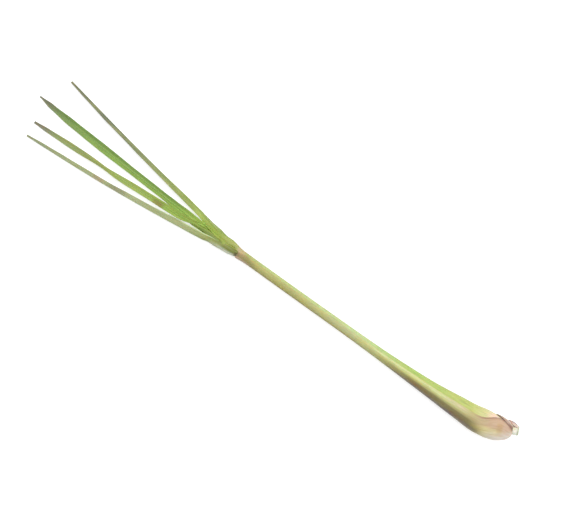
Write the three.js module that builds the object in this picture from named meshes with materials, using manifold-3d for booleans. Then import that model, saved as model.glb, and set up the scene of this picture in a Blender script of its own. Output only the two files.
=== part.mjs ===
// A cut lemongrass stalk lying on a table, in millimetres, +Z up.
//
// The stalk is a short stem, the culm, with leaves rolled round each other on it. Each leaf is one
// piece: a sheath that starts on the culm inside the bulb and runs up the stalk, and a blade that leaves
// the sheath at the collar. The outermost leaf has lost its blade, so only its sheath is left, open along
// the top and one side.
//
// The stalk grows along +X. Its origin is the middle of the small flat spot that the bulb rests on.
// Distances called "station" are measured along the stalk's middle line, from the culm's cut face.

import * as THREE from "three";
import { mergeVertices } from "three/addons/utils/BufferGeometryUtils.js";
import Module from "manifold-3d";

const wasm = await Module();
wasm.setup();

const { lerp, clamp, degToRad, smoothstep } = THREE.MathUtils;
const at = (x, y, z) => new THREE.Vector3(x, y, z);

// The tables of points below are drawn from a zero of their own. The origin is the middle of the resting spot.
const REST_SPOT = { x: -7.5, y: -0.7 };
const drawn = (x, y, z) => at(x - REST_SPOT.x, y - REST_SPOT.y, z);

// ---------- driving dimensions ----------

const BULB_RADIUS = 10.2;
const NECK_RADIUS = 4.25;
const BULB_TOP = 33; // station where the bulb starts to thin into the stalk
const NECK_START = 166; // station where the stalk has thinned to the neck
const BULB_TAPER = 1.85; // power of the taper between them
const COLLAR_STATION = 267.5; // end of the outermost sheath
const COLLAR_SWELL = 0.15; // how far the outermost collar stands out
const COLLAR_RING = 2.5; // how far along the stalk the swelling spreads
const REST_DEPTH = 0.3; // how far the bulb is pressed flat where it rests
const REST_HEIGHT = BULB_RADIUS - REST_DEPTH; // height of the stalk's middle line over the resting spot
const COLLAR_HEIGHT = 5.2; // height of the middle line at the collar
const COLLAR_X = 230;
const FOOT_LIFT = 0.9; // the looser roll lifts it past the collar
const FOOT_SPAN = [225, 245]; // X where the lift starts and is full

const LEAF_COUNT = 5; // rolled round each other, counted from the outside
const NECK_CORE = 0.95; // radius of the innermost leaf, rolled solid, in the neck
const BULB_CORE = 2.4; // and in the bulb
const OUTER_STEP = 1.05; // from the outside of the outermost sheath to the outside of the next, in the bulb
const NECK_GAP = 0.22; // between one sheath and the next, in the neck
const BULB_GAP = 0.35; // and in the bulb

const CULM_RADIUS = 3.7;
const CULM_SHOULDER = 5.5; // station where the culm starts to taper inside the bulb
const CULM_TIP = 16.8;
const CULM_TIP_RADIUS = 1.2;
const CUT_EDGE = 0.5; // the cut face's worn edge
const TIP_EDGE = 0.4;
const FIRST_NODE = 5.2; // station where the outermost sheath is attached
const NODE_SPACING = 3; // between one leaf's attachment and the next
const SHEATH_EDGE = 0.7; // thickness of a sheath where it starts
const BASE_ROUND = 15; // length over which the outermost sheath swells to the bulb's radius
const BASE_POWER = 2.1; // 2 is an ellipse, more is blunter

const BLADE_THICKNESS = 0.6;
const MIDRIB_THICKNESS = 0.95;
const RIB_WIDTH = 0.2; // as a share of the blade's half width
const THROAT = 5; // distance past its collar where a sheath has opened into the foot of its blade
const SETTLING = 14; // length over which the foot of the blade takes the blade's own fold
const FOOT_RINGS = [3, 6, 9, 12, 16]; // distances of its rings past the sheath

// The middle line of the stalk seen from above, from the culm's cut face through the hooked bulb.
const MIDDLE_LINE = [
  [-37.0, -10.0],
  [-29.0, -6.9],
  [-16.0, -2.3],
  [-2.0, 0.0],
  [14.0, 0.1],
  [30.0, -0.3],
  [78.0, -2.1],
  [126.0, -4.5],
  [182.0, -7.4],
  [222.0, -9.7],
  [231.0, -9.8],
  [240.0, -9.4],
  [250.0, -9.6],
  [262.0, -11.9],
  [300.0, -17.0],
];

const NODE_RISE = 0.8; // a ring is this far past each attachment
const RING_SPACING = 0.7; // no ring is nearer to a sheath's last one
const STALK_RINGS = [20, 22.5, 25.5, 29, 34, 42, 50, 60, 72, 86, 102, 120, 142, 175, 210, 240];
STALK_RINGS.push(254, 258, 262, 265, 267.5, 270, 272.5, 275, 277.5, 280, 282.5, 285, 287.5);

// ---------- the stalk's middle line and the layers of the roll ----------

// A smooth curve through hand-placed values: [[place, value], ...], level at both ends.
function through(...points) {
  return (place) => {
    const next = points.findIndex(([p]) => p > place);
    if (next === 0) return points[0][1];
    if (next < 0) return points.at(-1)[1];
    const [[p0, v0], [p1, v1]] = [points[next - 1], points[next]];
    return lerp(v0, v1, smoothstep((place - p0) / (p1 - p0), 0, 1));
  };
}

const middleHeight = (x) =>
  lerp(REST_HEIGHT, COLLAR_HEIGHT, x / COLLAR_X) + FOOT_LIFT * smoothstep(x, ...FOOT_SPAN);

const middleCurve = new THREE.CatmullRomCurve3(
  MIDDLE_LINE.map(([x, y]) => drawn(x, y, middleHeight(x))),
);
middleCurve.arcLengthDivisions = 1200;
const middleLength = middleCurve.getLength();

// The frame at a point of a curve: tangent, and the level and upright directions square to it.
function frameOf(curve, share) {
  const along = curve.getTangentAt(share);
  const level = at(0, 0, 1).cross(along).normalize();
  const upright = along.clone().cross(level);
  return { middle: curve.getPointAt(share), along, level, upright };
}

const frameAtStation = (station) => frameOf(middleCurve, clamp(station / middleLength, 0, 1));

// Angles round the stalk are counted from +Y over the top, so 90 is straight up and 180 is -Y.
function turned(frame, degrees) {
  const angle = degToRad(degrees);
  const outward = frame.level.clone().multiplyScalar(Math.cos(angle));
  outward.addScaledVector(frame.upright, Math.sin(angle));
  const sideways = frame.level.clone().multiplyScalar(-Math.sin(angle));
  sideways.addScaledVector(frame.upright, Math.cos(angle));
  return { outward, sideways };
}

function bodyRadius(station) {
  const left = clamp((NECK_START - station) / (NECK_START - BULB_TOP), 0, 1);
  return lerp(NECK_RADIUS, BULB_RADIUS, left ** BULB_TAPER);
}

// The roll is looser from just below the outermost collar on.
const looseness = through([252, 1], [267.5, 1.12], [276, 1.53], [290, 1.72]);

const fatness = (station) => (bodyRadius(station) - NECK_RADIUS) / (BULB_RADIUS - NECK_RADIUS);
const gapAt = (station) => lerp(NECK_GAP, BULB_GAP, fatness(station)) * looseness(station) ** 2;
const coreAt = (station) => lerp(NECK_CORE, BULB_CORE, fatness(station));
const layerStep = (station) => (bodyRadius(station) - coreAt(station)) / (LEAF_COUNT - 1);
// The outermost sheath is thinner in the bulb, and the others share what it leaves.
const outerStep = (station) => lerp(layerStep(station), OUTER_STEP, fatness(station));
function layerDepth(station, layer) {
  if (layer === 0) return 0;
  const rest = bodyRadius(station) - outerStep(station) - coreAt(station);
  return outerStep(station) + (rest * (layer - 1)) / (LEAF_COUNT - 2);
}
const nodeStation = (layer) => FIRST_NODE + NODE_SPACING * layer;

function culmRadius(station) {
  const tapered = clamp((station - CULM_SHOULDER) / (CULM_TIP - CULM_SHOULDER), 0, 1);
  return lerp(CULM_RADIUS, CULM_TIP_RADIUS, tapered);
}

// Outer radius of a layer, 0 being the outermost. It swells from the culm and then follows the stalk.
function layerRadius(station, layer) {
  const node = nodeStation(layer);
  const start = culmRadius(node) + BULB_GAP + SHEATH_EDGE;
  const full = (bodyRadius(station) - layerDepth(station, layer)) * looseness(station);
  const left = 1 - clamp((station - node) / (BASE_ROUND - layer), 0, 1);
  return lerp(start, full, (1 - left ** BASE_POWER) ** (1 / BASE_POWER));
}

// Inner radius of a layer: it clears the culm below the next leaf's attachment, and that leaf above it.
function hollowRadius(station, layer) {
  const gap = gapAt(station);
  const nextNode = nodeStation(layer + 1);
  if (station < nextNode - gap - 1e-6) return culmRadius(station) + BULB_GAP;
  return layerRadius(Math.max(station, nextNode), layer + 1) + gap;
}

// Stations of the rings, the same for every layer, so that neighbouring facets stay parallel.
function ringStations(layer, to) {
  const list = [nodeStation(layer), nodeStation(layer) + NODE_RISE];
  for (let next = layer + 1; next < LEAF_COUNT; next++) {
    const node = nodeStation(next);
    list.push(node - BULB_GAP - NODE_RISE, node - BULB_GAP, node + NODE_RISE);
  }
  return [...list, ...STALK_RINGS.filter((station) => station < to - RING_SPACING), to];
}

// ---------- sections across a leaf ----------

// A section is a list of [outer point, inner point] from one margin of the leaf to the other.
function sheathSection(leaf, station, halfAngle, shares) {
  const frame = frameAtStation(station);
  const { outward, sideways } = turned(frame, leaf.midribAngle);
  const outer = layerRadius(station, leaf.layer) + (leaf.swell ? leaf.swell(station) : 0);
  const inner = hollowRadius(station, leaf.layer);
  return shares.map((share) => {
    const angle = degToRad(leaf.turn ? leaf.turn(station, share) : share * halfAngle);
    const ray = outward.clone().multiplyScalar(Math.cos(angle)).addScaledVector(sideways, Math.sin(angle));
    return [outer, inner].map((radius) => frame.middle.clone().addScaledVector(ray, radius));
  });
}

// The innermost leaf is rolled solid: the two faces of its section close into a round.
const CORE_SIDE = 78; // degrees from the middle of a face to its edge

function coreSection(leaf, station, shares) {
  const frame = frameAtStation(station);
  const { outward, sideways } = turned(frame, leaf.midribAngle);
  const radius = layerRadius(station, leaf.layer);
  return shares.map((share) => {
    const angle = degToRad(CORE_SIDE * share);
    return [1, -1].map((side) =>
      frame.middle
        .clone()
        .addScaledVector(outward, side * radius * Math.cos(angle))
        .addScaledVector(sideways, radius * Math.sin(angle)),
    );
  });
}

// A blade is folded along its midrib. "open" is half the angle between its two sides: 90 is flat.
// "keel" is how round the fold is, as a share of the blade's half width.
function bladeSection(leaf, share, shares) {
  const frame = frameOf(leaf.curve, share);
  const { outward, sideways } = turned(frame, leaf.roll(share));
  const half = leaf.halfWidth(share);
  const open = degToRad(leaf.open(share));
  const keel = leaf.keel(share);
  const foldDepth = half * Math.cos(open);
  const wholeFold = Math.hypot(1, keel) - keel;
  return shares.map((across) => {
    const depth = (Math.hypot(across, keel) - keel) / wholeFold;
    const outer = frame.middle
      .clone()
      .addScaledVector(sideways, across * half * Math.sin(open))
      .addScaledVector(outward, (0.5 - depth) * foldDepth);
    const slope = (foldDepth * across) / (Math.hypot(across, keel) * wholeFold);
    const normal = outward.clone().multiplyScalar(half * Math.sin(open));
    normal.addScaledVector(sideways, slope).normalize();
    const rib = Math.exp(-((across / RIB_WIDTH) ** 2)) * (1 - share * share);
    return [outer, outer.clone().addScaledVector(normal, -lerp(BLADE_THICKNESS, MIDRIB_THICKNESS, rib))];
  });
}

const mixSections = (a, b, share) =>
  a.map((pair, i) => pair.map((point, side) => point.clone().lerp(b[i][side], share)));

// ---------- solids ----------

// Closes a run of sections into one solid: both faces, both margins and both ends.
function skinOf(sections) {
  const columns = sections[0].length;
  const vertexAt = (ring, column, side) => (ring * columns + column) * 2 + side;
  const position = sections.flat(2).flatMap((p) => p.toArray());
  const index = [];
  const quad = (a, b, c, d) => index.push(a, b, c, a, c, d);
  for (let ring = 0; ring + 1 < sections.length; ring++) {
    for (let column = 0; column + 1 < columns; column++) {
      const corners = [
        [ring, column],
        [ring + 1, column],
        [ring + 1, column + 1],
        [ring, column + 1],
      ];
      const [a, b, c, d] = corners.map(([r, k]) => vertexAt(r, k, 0));
      const [e, f, g, h] = corners.map(([r, k]) => vertexAt(r, k, 1));
      quad(a, b, c, d);
      index.push(e, g, f, e, h, g);
    }
    for (const [column, flip] of [[0, true], [columns - 1, false]]) {
      const edge = [vertexAt(ring, column, 0), vertexAt(ring + 1, column, 0)];
      const back = [vertexAt(ring + 1, column, 1), vertexAt(ring, column, 1)];
      const loop = [...edge, ...back];
      quad(...(flip ? loop.reverse() : loop));
    }
  }
  for (const [ring, flip] of [[0, false], [sections.length - 1, true]]) {
    for (let column = 0; column + 1 < columns; column++) {
      const loop = [
        vertexAt(ring, column, 0),
        vertexAt(ring, column + 1, 0),
        vertexAt(ring, column + 1, 1),
        vertexAt(ring, column, 1),
      ];
      quad(...(flip ? loop.reverse() : loop));
    }
  }
  const geometry = new THREE.BufferGeometry();
  geometry.setAttribute("position", new THREE.Float32BufferAttribute(position, 3));
  geometry.setIndex(index);
  return geometry;
}

function solidOf(geometry) {
  const bare = new THREE.BufferGeometry().setAttribute("position", geometry.getAttribute("position"));
  bare.setIndex(geometry.index);
  const merged = mergeVertices(bare, 1e-4);
  return new wasm.Manifold(
    new wasm.Mesh({
      numProp: 3,
      vertProperties: new Float32Array(merged.attributes.position.array),
      triVerts: new Uint32Array(merged.index.array),
    }),
  );
}

function geometryOf(solid) {
  const mesh = solid.getMesh();
  const geometry = new THREE.BufferGeometry();
  geometry.setAttribute("position", new THREE.BufferAttribute(mesh.vertProperties, 3));
  geometry.setIndex(new THREE.BufferAttribute(mesh.triVerts, 1));
  return geometry;
}

function meshOf(name, geometry, colour, roughness) {
  geometry.computeVertexNormals();
  const material = new THREE.MeshStandardMaterial({ color: colour, roughness, metalness: 0 });
  const mesh = new THREE.Mesh(geometry, material);
  mesh.name = name;
  return mesh;
}

const spread = (count) => Array.from({ length: count + 1 }, (_, i) => 1 - (2 * i) / count);

// ---------- the culm ----------

const ROOT_SCARS = { rings: [1.3, 3.1], perRing: 7, radius: 0.7, height: 0.35, sunk: 0.8 };

function culm() {
  const outline = [
    [0, 0],
    [CULM_RADIUS - CUT_EDGE, 0],
    [CULM_RADIUS, CUT_EDGE],
    [CULM_RADIUS, CULM_SHOULDER],
    [CULM_TIP_RADIUS, CULM_TIP - TIP_EDGE],
    [CULM_TIP_RADIUS - TIP_EDGE, CULM_TIP],
    [0, CULM_TIP],
  ];
  const stem = new THREE.LatheGeometry(outline.map(([r, s]) => new THREE.Vector2(r, s)), 24);
  let solid = solidOf(stem);
  ROOT_SCARS.rings.forEach((station, ring) => {
    for (let i = 0; i < ROOT_SCARS.perRing; i++) {
      const angle = ((i + ring / 2) / ROOT_SCARS.perRing) * 2 * Math.PI;
      const length = ROOT_SCARS.height + ROOT_SCARS.sunk;
      const scar = new THREE.CylinderGeometry(ROOT_SCARS.radius * 0.7, ROOT_SCARS.radius, length, 8);
      scar.rotateZ(-Math.PI / 2);
      scar.translate(CULM_RADIUS + ROOT_SCARS.height - length / 2, station, 0);
      scar.rotateY(angle);
      solid = solid.add(solidOf(scar));
    }
  });
  const { middle, along } = frameAtStation(0);
  const turn = new THREE.Quaternion().setFromUnitVectors(at(0, 1, 0), along);
  const placed = geometryOf(solid).applyQuaternion(turn).translate(...middle.toArray());
  return meshOf("culm", geometryOf(solidOf(placed).add(solidOf(oldLeafStub()))), "#d9cfa6", 0.7);
}

// What is left of an older leaf, torn off close to the culm: part of a cuff that flares towards the bulb.
const STUB = {
  middleAngle: 165,
  halfAngle: 62,
  from: 0.9, // stations
  to: 4.5,
  thickness: 0.7,
  sunk: 0.4,
  flare: 0.5,
  tear: 0.25, // the share of its width lost at the torn edge
};

function oldLeafStub() {
  const rings = [0, 0.35, 0.7, 1];
  const sections = rings.map((share) => {
    const frame = frameAtStation(lerp(STUB.from, STUB.to, share));
    const inner = CULM_RADIUS - STUB.sunk + (STUB.sunk + STUB.flare) * share ** 2;
    return spread(10).map((across) => {
      const kept = 1 - STUB.tear * share * across * across;
      const ray = turned(frame, STUB.middleAngle + across * STUB.halfAngle * kept).outward;
      return [inner + STUB.thickness, inner].map((r) => frame.middle.clone().addScaledVector(ray, r));
    });
  });
  return skinOf(sections);
}

// ---------- the leaves ----------

// The outermost sheath wraps the roll but for the stretch between its margins, which closes towards the culm.
const OUTER = {
  layer: 0,
  midribAngle: -25,
  upperMargin: 137, // from the midrib, along the stalk
  lowerMargin: 108,
  closedMargin: 176, // both margins at the culm
  closedTo: 9, // stations between which the margins part
  openFrom: 34,
  swell: (station) => COLLAR_SWELL * Math.exp(-(((station - COLLAR_STATION) / COLLAR_RING + 0.6) ** 2)),
  turn: (station, share) => {
    const closed = 1 - smoothstep(station, OUTER.closedTo, OUTER.openFrom);
    return share * lerp(share > 0 ? OUTER.upperMargin : OUTER.lowerMargin, OUTER.closedMargin, closed);
  },
};

const TABLE = [80, 60, 10]; // what the bulb is pressed flat on

function outerSheath() {
  const shares = spread(20);
  const sections = ringStations(0, COLLAR_STATION).map((station) => sheathSection(OUTER, station, 0, shares));
  const table = new THREE.BoxGeometry(...TABLE).translate(0, 0, -TABLE[2] / 2);
  return geometryOf(solidOf(skinOf(sections)).subtract(solidOf(table)));
}

// A whole leaf: rings up its sheath, rings where the sheath opens, then the blade along its own route.
function leafGeometry(leaf) {
  const shares = spread(leaf.columns);
  const rolled = (station) => {
    if (leaf.core) return coreSection(leaf, station, shares);
    const opened = smoothstep(station, leaf.collar - THROAT, leaf.collar + THROAT);
    return sheathSection(leaf, station, lerp(leaf.wrap, leaf.footWrap, opened), shares);
  };
  const throat = leaf.collar + THROAT;
  leaf.curve = bladeCurve(leaf, throat);
  const length = leaf.curve.getLength();
  const places = [...FOOT_RINGS];
  for (let i = 1; i <= leaf.bladeRings; i++) {
    places.push(lerp(FOOT_RINGS.at(-1), length, i / leaf.bladeRings));
  }
  const blade = places.map((place) => {
    const grown = smoothstep(place, 0, SETTLING);
    const own = bladeSection(leaf, place / length, shares);
    return grown < 1 ? mixSections(rolled(throat + place), own, grown) : own;
  });
  return skinOf([...ringStations(leaf.layer, throat).map(rolled), ...blade]);
}

// The blade's route starts in the middle of the opened sheath.
function bladeCurve(leaf, throat) {
  const frame = frameAtStation(throat);
  const { outward } = turned(frame, leaf.midribAngle);
  const offset = leaf.core ? 0 : layerRadius(throat, leaf.layer) / 2;
  const start = frame.middle.clone().addScaledVector(outward, offset);
  const curve = new THREE.CatmullRomCurve3([start, ...leaf.route.map((p) => drawn(...p))]);
  curve.arcLengthDivisions = 400;
  return curve;
}

// Each blade's shape is given at shares of its length.
const LEAVES = {
  first_leaf: {
    layer: 1,
    midribAngle: 180,
    wrap: 160,
    footWrap: 84,
    collar: 267.5,
    columns: 14,
    bladeRings: 16,
    route: [
      [242, -14.3, 5.3],
      [252, -16.3, 5.4],
      [266.4, -19.2, 5.4],
      [285.6, -23.3, 5.3],
      [304.8, -27.7, 5.2],
      [333.6, -34.5, 4.7],
      [372, -43.5, 3.3],
      [391, -48.3, 2.5],
      [414.4, -54.3, 1.2],
    ],
    roll: through([0, 180], [0.04, 180], [0.14, 152], [0.3, 150], [0.6, 168], [1, 162]),
    halfWidth: through([0, 5.6], [0.1, 5.6], [0.25, 4.8], [0.45, 4.2], [0.75, 3.4], [0.9, 2.3], [1, 0.8]),
    open: through([0, 52], [0.05, 50], [0.2, 38], [0.6, 44], [1, 52]),
    keel: through([0, 1.5], [0.06, 1.2], [0.3, 0.12]),
    colour: "#9db04f",
  },
  second_leaf: {
    layer: 2,
    midribAngle: 0,
    wrap: 160,
    footWrap: 84,
    collar: 276,
    columns: 12,
    bladeRings: 16,
    route: [
      [251, -6.3, 5.5],
      [258, -5.6, 5.3],
      [266.4, -5.0, 5.0],
      [285.6, -3.9, 4.7],
      [314, -1.9, 4.6],
      [352.8, 0.1, 3.9],
      [391, 0.9, 2.5],
      [421.6, 1.5, 1.2],
    ],
    roll: through([0, 0], [0.18, 22], [0.3, 24], [0.6, 10], [1, 14]),
    halfWidth: through([0, 5.0], [0.12, 4.9], [0.4, 4.1], [0.75, 3.4], [0.9, 2.4], [1, 0.8]),
    open: through([0, 42], [0.2, 38], [0.6, 46], [1, 52]),
    keel: through([0, 0.8], [0.3, 0.12]),
    colour: "#a3b25c",
  },
  third_leaf: {
    layer: 3,
    midribAngle: 180,
    wrap: 155,
    footWrap: 88,
    collar: 289,
    columns: 12,
    bladeRings: 18,
    route: [
      [271, -13.8, 4.2],
      [285.6, -15.0, 3.6],
      [304.8, -16.6, 3.5],
      [343.2, -20.4, 3.3],
      [381.6, -24.4, 2.4],
      [410.4, -27.8, 1.6],
      [429.6, -30.7, 0.9],
    ],
    roll: through([0, 180], [0.08, 258], [0.5, 272], [1, 268]),
    halfWidth: through([0, 2.9], [0.08, 3.5], [0.25, 3.4], [0.6, 3.8], [0.8, 3.4], [0.92, 2.4], [1, 0.6]),
    open: through([0, 50], [0.08, 76], [1, 72]),
    keel: through([0, 0.8], [0.3, 0.12]),
    colour: "#7fae3c",
  },
  inner_leaf: {
    layer: 4,
    core: true,
    midribAngle: 0,
    collar: 289,
    columns: 8,
    bladeRings: 20,
    route: [
      [266, -11.2, 7.2],
      [284, -9.9, 7.6],
      [304.8, -9.8, 6.8],
      [324, -9.7, 5.6],
      [347, -9.3, 4.2],
      [372, -10.2, 3.0],
      [422.4, -10.9, 0.9],
    ],
    roll: through([0, 0], [0.1, -78], [0.45, -86], [0.6, -35], [0.78, -80], [1, -90]),
    halfWidth: through([0, 1.4], [0.1, 2.9], [0.2, 3.1], [0.5, 2.9], [0.8, 2.5], [0.93, 1.7], [1, 0.6]),
    open: through([0, 45], [0.3, 66], [1, 70]),
    keel: through([0, 0.8], [0.3, 0.12]),
    colour: "#9fbc56",
  },
};

const stalk = new THREE.Group();
stalk.add(culm());
stalk.add(meshOf("outer_sheath", outerSheath(), "#c2b978", 0.55));
for (const [name, leaf] of Object.entries(LEAVES)) {
  stalk.add(meshOf(name, leafGeometry(leaf), leaf.colour, 0.5));
}

export default stalk;
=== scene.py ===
import bisect
import math

import bmesh
import bpy
from mathutils import Matrix, Vector, noise


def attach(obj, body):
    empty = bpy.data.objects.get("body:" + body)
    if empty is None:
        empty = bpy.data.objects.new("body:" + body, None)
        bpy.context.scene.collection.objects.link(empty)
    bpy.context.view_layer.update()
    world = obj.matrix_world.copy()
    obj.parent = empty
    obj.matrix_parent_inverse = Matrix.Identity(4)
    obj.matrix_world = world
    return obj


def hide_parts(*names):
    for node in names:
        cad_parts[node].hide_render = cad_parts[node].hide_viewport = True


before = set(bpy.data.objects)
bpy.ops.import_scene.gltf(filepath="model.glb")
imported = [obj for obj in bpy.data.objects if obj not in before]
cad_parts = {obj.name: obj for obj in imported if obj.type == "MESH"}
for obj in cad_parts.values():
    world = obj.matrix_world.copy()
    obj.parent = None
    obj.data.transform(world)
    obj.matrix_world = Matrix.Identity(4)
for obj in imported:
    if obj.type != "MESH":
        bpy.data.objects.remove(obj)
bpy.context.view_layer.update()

# A cut lemongrass stalk on a pale table. Lengths in the dictionaries are millimetres. A "station" is a
# distance along the stalk from the cut face of its culm. Angles round the stalk are degrees from +Y over
# the top, so 90 is straight up and 180 is -Y. "across" is -1 at one margin of a leaf and 1 at the other.

mm = 0.001
nearly = 1e-6  # in metres, for telling places apart


def lerp(a, b, share):
    return a + (b - a) * share


def smoothStep(x, low, high):
    share = min(max((x - low) / (high - low), 0), 1)
    return share * share * (3 - 2 * share)


def through(*points):  # a smooth curve through given (place, value), level at both ends
    def valueAt(place):
        if place <= points[0][0]:
            return points[0][1]
        for (p0, v0), (p1, v1) in zip(points, points[1:]):
            if place < p1:
                return lerp(v0, v1, smoothStep(place, p0, p1))
        return points[-1][1]

    return valueAt


def around(middle, full, end):  # 1 up to "full" degrees from the middle angle, then fading to 0 at "end"
    return lambda turn: 1 - smoothStep(abs(turn - middle), full, end)


def ripple(x, y, seed=0.0):  # smooth noise from -1 to 1
    return noise.noise(Vector((x, y, seed)))


class Route:  # a smooth line through points, read by the distance along it
    def __init__(self, points, steps=50):
        points = [Vector(p) for p in points]
        ends = [2 * points[0] - points[1], 2 * points[-1] - points[-2]]
        padded = [ends[0], *points, ends[1]]
        self.places = []
        for a, b, c, d in zip(padded, padded[1:], padded[2:], padded[3:]):
            t0, t1, t2 = [(q - p).length ** 0.5 for p, q in ((a, b), (b, c), (c, d))]
            leave = ((b - a) / t0 - (c - a) / (t0 + t1) + (c - b) / t1) * t1
            arrive = ((c - b) / t1 - (d - b) / (t1 + t2) + (d - c) / t2) * t1
            for step in range(steps):
                t = step / steps
                bend = (3 * (c - b) - 2 * leave - arrive) * t * t + (2 * (b - c) + leave + arrive) * t ** 3
                self.places.append(b + leave * t + bend)
        self.places.append(points[-1])
        self.distances = [0.0]
        for a, b in zip(self.places, self.places[1:]):
            self.distances.append(self.distances[-1] + (b - a).length)
        self.length = self.distances[-1]

    def slope(self, i):
        low, high = max(i - 1, 0), min(i + 1, len(self.places) - 1)
        return (self.places[high] - self.places[low]).normalized()

    def at(self, distance):  # the middle, and the directions along, level and upright
        distance = min(max(distance, 0), self.length)
        i = min(max(bisect.bisect(self.distances, distance) - 1, 0), len(self.places) - 2)
        share = (distance - self.distances[i]) / (self.distances[i + 1] - self.distances[i])
        along = self.slope(i).lerp(self.slope(i + 1), share).normalized()
        level = Vector((0, 0, 1)).cross(along).normalized()
        return self.places[i].lerp(self.places[i + 1], share), along, level, along.cross(level)


def rayAt(level, upright, turn):  # the direction at an angle round the stalk
    angle = math.radians(turn)
    return level * math.cos(angle) + upright * math.sin(angle)


# The stalk as a whole: its middle line, its outline and how the leaves are rolled round each other in it.
stalk = {
    "restSpot": (-7.5, -0.7),  # the object's origin, in the drawing that the paths are taken from
    "line": [
        (-37.0, -10.0), (-29.0, -6.9), (-16.0, -2.3), (-2.0, 0.0), (14.0, 0.1), (30.0, -0.3),
        (78.0, -2.1), (126.0, -4.7), (182.0, -7.8), (214.0, -9.65), (222.0, -10.0), (231.0, -10.1),
        (240.0, -9.7), (250.0, -9.6), (262.0, -11.9), (300.0, -17.0),
    ],
    "restHeight": 9.9, "collarHeight": 5.2, "collarX": 230,
    "footLift": 0.9, "footSpan": (225, 245),  # the looser roll lifts the line past the collar
    "bulbRadius": 10.2, "bulbTop": 33, "neckRadius": 4.25, "neckStart": 166, "bulbTaper": 1.85,
    "baseRound": 15, "basePower": (1.65, 1.3),  # how bluntly the bulb rounds off, on its +Y and -Y sides
    "leaves": 5, "firstNode": 5.2, "nodeSpacing": 3,  # where the leaves are attached to the culm
    "bulbCore": 2.4, "neckCore": 0.95, "coreHollow": 0.45,  # the innermost leaf and its hollow
    "outerStep": 1.05, "sheathEdge": 0.7, "bulbGap": 0.35, "neckGap": 0.22,
    "looseness": through((252, 1), (267.5, 1.08), (276, 1.53), (290, 1.72)),  # it opens past the collar
    "collar": 267.5, "throat": 5, "throatRings": 12,
}


def drawn(x, y, z):
    return Vector((x - stalk["restSpot"][0], y - stalk["restSpot"][1], z))


def middleHeight(x):
    sloped = lerp(stalk["restHeight"], stalk["collarHeight"], x / stalk["collarX"])
    return sloped + stalk["footLift"] * smoothStep(x, *stalk["footSpan"])


stalkLine = Route([drawn(x, y, middleHeight(x)) for x, y in stalk["line"]])


def bodyRadius(station):
    left = min(max((stalk["neckStart"] - station) / (stalk["neckStart"] - stalk["bulbTop"]), 0), 1)
    return lerp(stalk["neckRadius"], stalk["bulbRadius"], left ** stalk["bulbTaper"])


def fatness(station):  # 1 in the bulb, 0 in the neck
    return (bodyRadius(station) - stalk["neckRadius"]) / (stalk["bulbRadius"] - stalk["neckRadius"])


def gapAt(station):
    return lerp(stalk["neckGap"], stalk["bulbGap"], fatness(station)) * stalk["looseness"](station) ** 2


def layerDepth(station, layer):  # from the stalk's outside to the outside of a leaf rolled in it
    if layer == 0:
        return 0
    body, fat = bodyRadius(station), fatness(station)
    core = lerp(stalk["neckCore"], stalk["bulbCore"], fat)
    first = lerp((body - core) / (stalk["leaves"] - 1), stalk["outerStep"], fat)
    return first + (body - first - core) * (layer - 1) / (stalk["leaves"] - 2)


def culmRadius(station):
    tapered = min(max((station - culm["shoulder"]) / (culm["length"] - culm["shoulder"]), 0), 1)
    return lerp(culm["radius"], culm["tipRadius"], tapered)


def layerRadius(station, layer, turn=90.0):
    node = stalk["firstNode"] + stalk["nodeSpacing"] * layer
    power = lerp(*stalk["basePower"], 0.5 - 0.5 * math.cos(math.radians(turn)))
    start = culmRadius(node) + stalk["bulbGap"] + stalk["sheathEdge"]
    full = (bodyRadius(station) - layerDepth(station, layer)) * stalk["looseness"](station)
    left = 1 - min(max((station - node) / (stalk["baseRound"] - layer), 0), 1)
    return lerp(start, full, (1 - left ** power) ** (1 / power))


def hollowRadius(station, layer, turn):
    if layer == stalk["leaves"] - 1:
        return layerRadius(station, layer, turn) * stalk["coreHollow"]
    nextNode = stalk["firstNode"] + stalk["nodeSpacing"] * (layer + 1)
    if station < nextNode:
        return culmRadius(station) + stalk["bulbGap"]
    return layerRadius(station, layer + 1, turn) + gapAt(station)


def deselectAll():
    if bpy.context.object and bpy.context.object.mode != "OBJECT":
        bpy.ops.object.mode_set(mode="OBJECT")
    bpy.ops.object.select_all(action="DESELECT")


def useOnly(*pieces):
    deselectAll()
    for piece in pieces:
        piece.select_set(True)
    bpy.context.view_layer.objects.active = pieces[0]


def selectPart(piece, kind, test):  # in edit mode: the "verts", "edges" or "faces" that pass the test
    mesh = bmesh.from_edit_mesh(piece.data)
    bpy.ops.mesh.select_all(action="DESELECT")
    mesh.select_mode = {kind[:-1].upper()}
    for part in getattr(mesh, kind):
        corners = [part] if kind == "verts" else part.verts
        if test(sum((corner.co for corner in corners), Vector()) / len(corners)):
            part.select_set(True)
    mesh.select_flush_mode()
    bmesh.update_edit_mesh(piece.data)


def finishPiece(piece, slotName, *nodes):
    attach(piece, "root")
    if nodes:
        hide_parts(*nodes)


def hexColour(text):  # the screen colour as the linear one that nodes take
    parts = [int(text[i:i + 2], 16) / 255 for i in (1, 3, 5)]
    return [c / 12.92 if c <= 0.04045 else ((c + 0.055) / 1.055) ** 2.4 for c in parts] + [1.0]


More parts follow.
